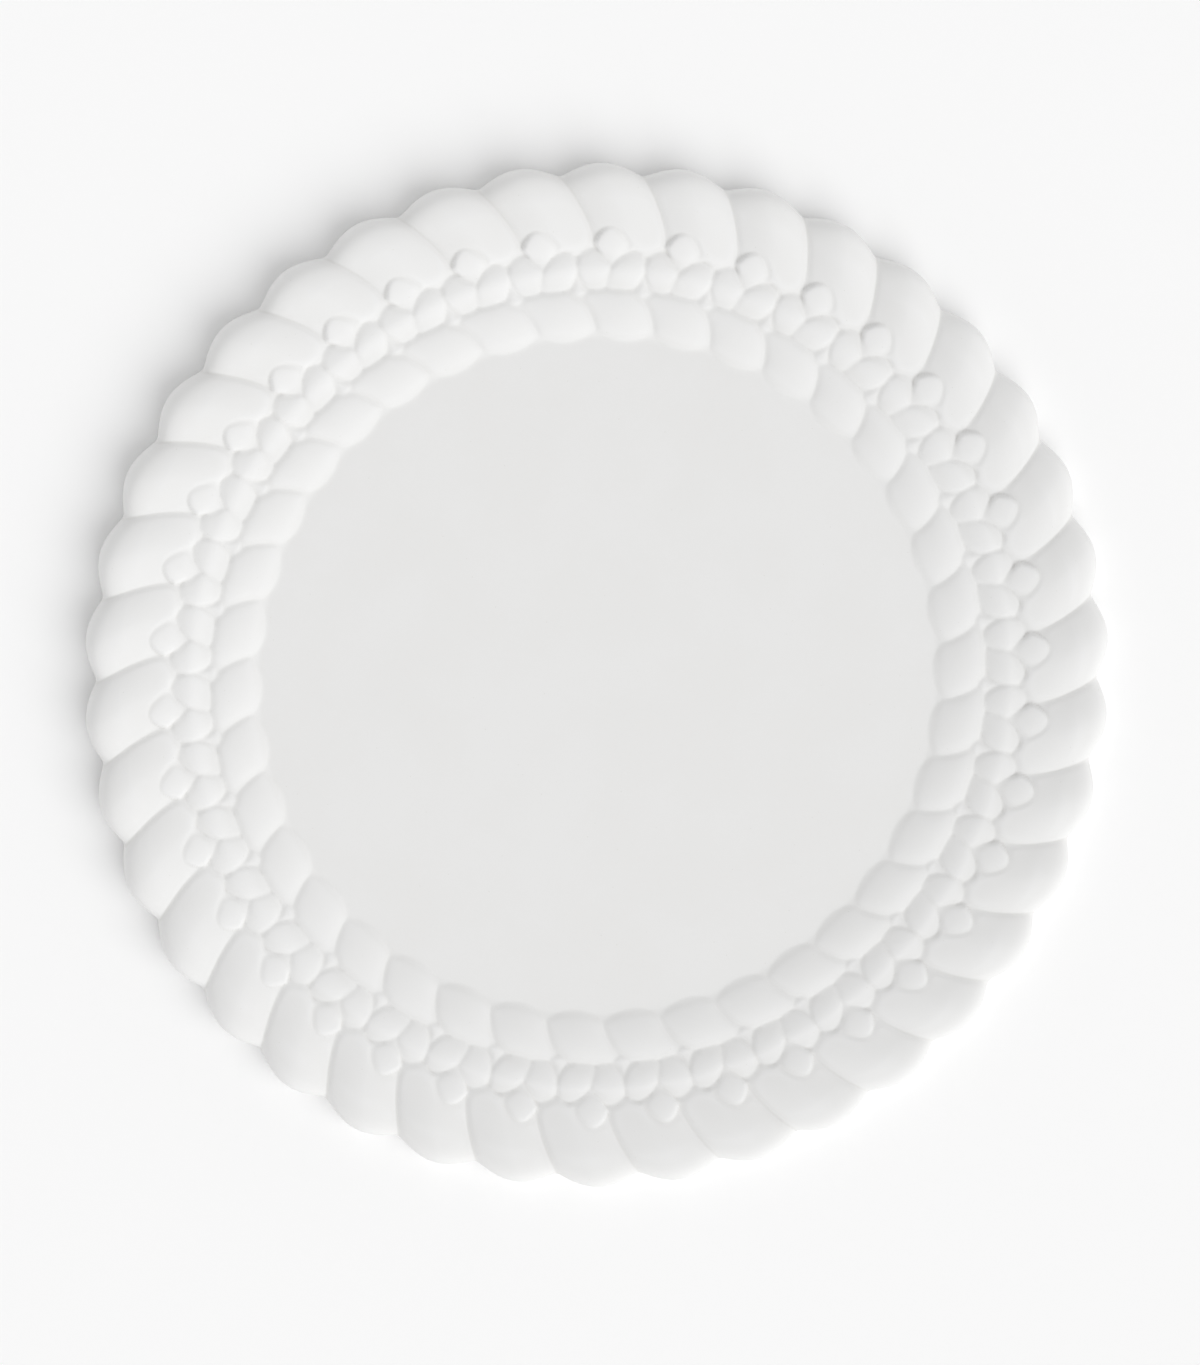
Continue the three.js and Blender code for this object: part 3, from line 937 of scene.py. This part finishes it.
def make_backing(material):
    """The disc of hessian in plaster behind the panel."""
    low, high = box_of("backing_scrim")
    angle = np.arange(BACKING_COLUMNS) * TAU / BACKING_COLUMNS
    edge = high.x - BACKING_RAG * ragged(angle, 31)
    rings = []
    for share in (0.04, 0.3, 0.6, 0.85, 0.97):
        rings.append(ring_points(share * edge, angle, high.z - BED_GAP))
    rings.append(ring_points(edge, angle, high.z - BACKING_ARRIS))
    rings.append(ring_points(edge, angle, low.z + BACKING_ARRIS))
    for share in (0.985, 0.94, 0.88, 0.8, 0.7, 0.6, 0.5, 0.4, 0.3, 0.2, 0.1, 0.04):
        ripple = np.sin(3 * angle + 40 * share) + np.sin(7 * angle - 25 * share)
        ripple = ripple + np.sin(13 * angle + 60 * share)
        rings.append(ring_points(share * edge, angle, low.z + BACKING_RIPPLE * ripple))
    points, faces = closed_rings(rings)
    piece = solid_object("hessian_backing", points, faces, material)
    keep_place(piece, "weave", points @ Matrix.Rotation(0.3, 3, "Z"))
    return piece


def make_channel_lining(material):
    """The strip of hessian in plaster that lines the channel."""
    low, high = box_of("channel_scrim")
    inner = high.x - LINING_WIDTH
    angle = np.arange(LINING_COLUMNS) * TAU / LINING_COLUMNS
    outer_edge = high.x - LINING_RAG * ragged(angle, 41)
    inner_edge = inner + LINING_RAG * ragged(angle, 37)
    width = outer_edge - inner_edge
    rings = []
    for share in (0.02, 0.35, 0.65, 0.98):
        rings.append(ring_points(inner_edge + share * width, angle, high.z - BED_GAP))
    rings.append(ring_points(outer_edge, angle, high.z - LINING_ARRIS))
    rings.append(ring_points(outer_edge, angle, low.z + LINING_ARRIS))
    for share in (0.98, 0.9, 0.8, 0.7, 0.6, 0.5, 0.4, 0.3, 0.2, 0.1, 0.02):
        ripple = np.sin(17 * angle + 20 * share) + np.sin(41 * angle - 30 * share)
        rise = LINING_RIPPLE * (1 + ripple)
        rings.append(ring_points(inner_edge + share * width, angle, low.z + rise))
    rings.append(ring_points(inner_edge, angle, low.z + LINING_ARRIS))
    rings.append(ring_points(inner_edge, angle, high.z - LINING_ARRIS))
    points, faces = looped_rings(rings)
    piece = solid_object("hessian_lining", points, faces, material)
    middle = (inner + high.x) / 2
    turn = np.tile(angle, len(rings))
    reach = np.hypot(points[:, 0], points[:, 1])
    keep_place(piece, "weave", np.column_stack([turn * middle, reach, 0 * reach]))
    return piece


def make_camera():
    """The photograph's view: square on but for a small tilt, from far off."""
    toward = math.radians(CAMERA_TOWARD)
    target = Vector((*CAMERA_AIM, FACE_HEIGHT))
    axis = Vector((-math.sin(toward), math.cos(toward), 0))
    turn = Matrix.Rotation(math.radians(CAMERA_TILT), 4, axis)
    data = bpy.data.cameras.new("camera")
    data.sensor_fit = "HORIZONTAL"
    data.sensor_width = 36
    data.lens = CAMERA_LENS
    camera = bpy.data.objects.new("camera", data)
    camera.matrix_world = Matrix.Translation(target + turn @ Vector((0, 0, CAMERA_DISTANCE))) @ turn
    bpy.context.scene.collection.objects.link(camera)
    bpy.context.scene.camera = camera


def make_surround(zenith, horizon):
    """An even white surround, brighter low down than overhead."""
    world = bpy.data.worlds.new("surround")
    world.use_nodes = True
    tree = world.node_tree
    split = tree.nodes.new("ShaderNodeSeparateXYZ")
    tree.links.new(tree.nodes.new("ShaderNodeTexCoord").outputs["Generated"], split.inputs[0])
    spread = tree.nodes.new("ShaderNodeMapRange")
    spread.inputs["To Min"].default_value = horizon
    spread.inputs["To Max"].default_value = zenith
    tree.links.new(split.outputs["Z"], spread.inputs["Value"])
    tree.nodes["Background"].inputs["Color"].default_value = (1, 1, 1, 1)
    tree.links.new(spread.outputs["Result"], tree.nodes["Background"].inputs["Strength"])
    bpy.context.scene.world = world


def make_key(energy, azimuth, height, spread):
    """One broad soft light, with its angles in degrees."""
    data = bpy.data.lights.new("key", "SUN")
    data.energy = energy
    data.angle = math.radians(spread)
    key = bpy.data.objects.new("key", data)
    turn = math.radians(azimuth)
    rise = math.radians(height)
    flat = math.cos(rise)
    direction = Vector((math.cos(turn) * flat, math.sin(turn) * flat, math.sin(rise)))
    key.rotation_euler = direction.to_track_quat("Z", "Y").to_euler()
    bpy.context.scene.collection.objects.link(key)


def make_floor():
    """A plain pale floor, open where the rose covers it and clear from below."""
    turn = np.arange(REPEATS * FLOOR_COLUMNS) / FLOOR_COLUMNS
    angle = TAU * turn / REPEATS
    rings = [ring_points(outline_radius(turn) - FLOOR_LAP, angle, -FLOOR_DROP)]
    rings.append(ring_points(FLOOR_RADIUS, angle, -FLOOR_DROP))
    faces = bridge(0, len(turn), len(turn), len(turn))
    nodes = Nodes("floor", FLOOR_WHITE, 0.9)
    clear = nodes.tree.nodes.new("ShaderNodeBsdfTransparent")
    below = nodes.tree.nodes.new("ShaderNodeNewGeometry").outputs["Backfacing"]
    either = nodes.tree.nodes.new("ShaderNodeMixShader")
    nodes.feed(either.inputs[0], below)
    nodes.feed(either.inputs[1], nodes.shader.outputs[0])
    nodes.feed(either.inputs[2], clear.outputs[0])
    nodes.feed(nodes.tree.nodes["Material Output"].inputs[0], either.outputs[0])
    mesh_object("floor", np.vstack(rings), faces, [nodes.material])


def fit(piece, node):
    """Makes a piece part of the rose, in place of a node."""
    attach(piece, "root")
    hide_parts(node)


bpy.context.scene.view_settings.view_transform = "Standard"
make_camera()
make_surround(zenith=0.34, horizon=1.1)
make_key(energy=1.6, azimuth=-45, height=50, spread=60)
make_floor()

timber = sawn_timber()
hessian = plastered_hessian()
fit(make_casting(), "rose_casting")
fit(make_backing(hessian), "backing_scrim")
fit(make_channel_lining(hessian), "channel_scrim")
for number in range(1, LATHS + 1):
    pieces = [(make_lath(number, timber), "timber", f"rim_lath_{number}")]
    for side in "ab":
        pieces.append((make_strap(number, side, hessian), "hessian", f"scrim_strap_{number}{side}"))
    for piece, slot, node in pieces:
        piece.rotation_euler = (0, 0, (number - 1) * TAU / LATHS)
        fit(piece, node)
